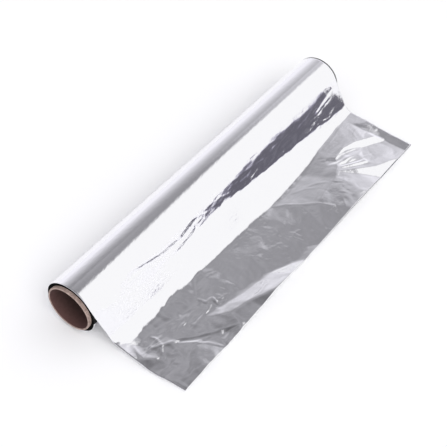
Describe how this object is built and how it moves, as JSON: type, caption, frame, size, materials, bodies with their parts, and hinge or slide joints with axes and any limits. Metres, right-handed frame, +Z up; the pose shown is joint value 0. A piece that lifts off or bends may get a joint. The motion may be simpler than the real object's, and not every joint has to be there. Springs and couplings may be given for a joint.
{
  "type": "aluminium foil roll",
  "caption": "Roll of household aluminium foil wound on a brown paper core, lying flat with its free end pulled out over the surface.",
  "frame": {"origin": "centre of the core's bore, midway between its two ends", "axes": "+X along the roll's axis, -Y the way the free end goes, +Z up; the surface that the roll lies on is at Z -0.0193"},
  "size_m": [0.3044, 0.1128, 0.0386],
  "materials": {
    "core_paper": "matt brown paperboard",
    "foil": "bright rolled"
  },
  "bodies": {
    "root": {"cardboard_core": "core_paper", "foil_web": "foil"}
  },
  "joints": []
}
